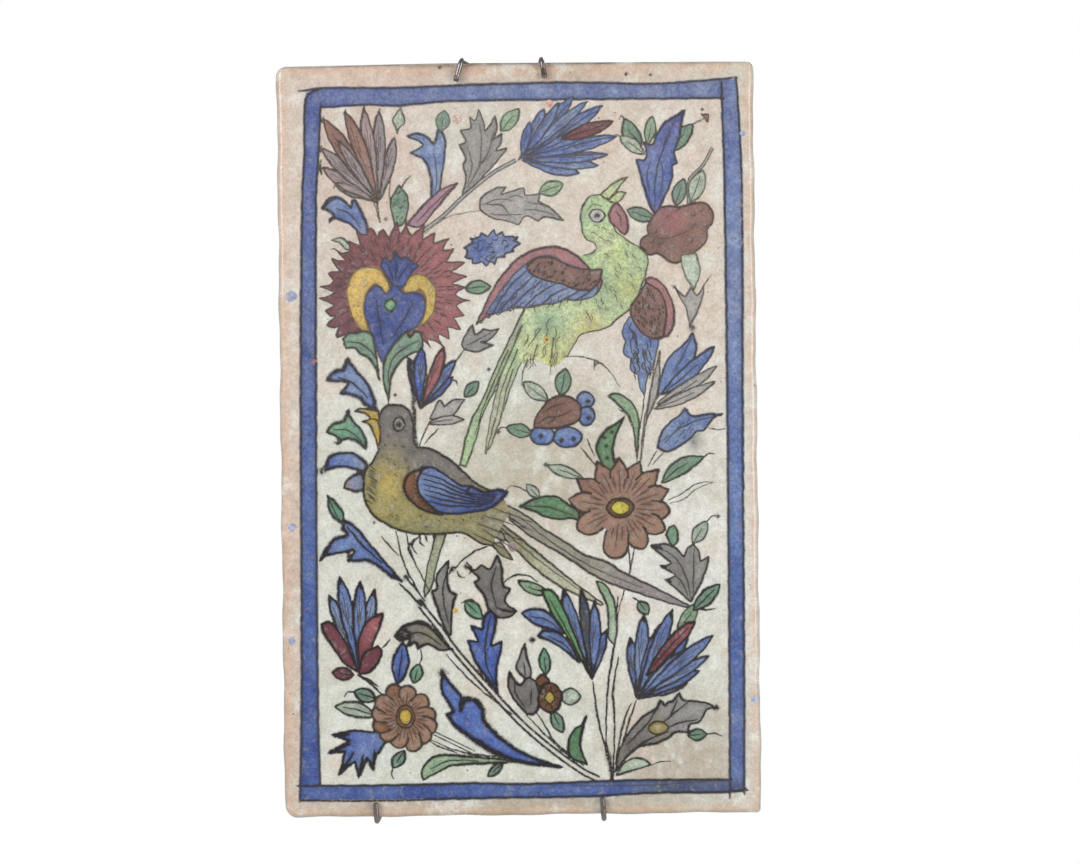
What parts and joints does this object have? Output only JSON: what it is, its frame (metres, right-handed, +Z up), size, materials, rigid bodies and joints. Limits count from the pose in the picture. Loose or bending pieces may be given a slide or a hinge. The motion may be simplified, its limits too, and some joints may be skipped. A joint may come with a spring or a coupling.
{
  "type": "hand-painted glazed wall tile in a wire hanger",
  "caption": "Upright glazed stonepaste wall tile painted with birds and flowers inside a blue band, gripped by a sprung wire hanger that hangs on a wall nail.",
  "frame": {"origin": "the point where a wall nail bears, under the crown of the hanger's top wire", "axes": "+Z up, the painted face looks along -Y, the wall is on the +Y side, +X to the right seen from the front"},
  "size_m": [0.197, 0.0292, 0.315],
  "materials": {
    "painted_glaze": "clear glaze over painting on a pale pinkish ground, rough bare clay on the back",
    "hanger_wire": "dark, slightly dulled steel wire",
    "spring_steel": "plain bright spring steel"
  },
  "bodies": {
    "root": {"tile": "painted_glaze", "hanger_top_wire": "hanger_wire", "hanger_bottom_wire": "hanger_wire", "hanger_spring_left": "spring_steel", "hanger_spring_right": "spring_steel"}
  },
  "joints": []
}
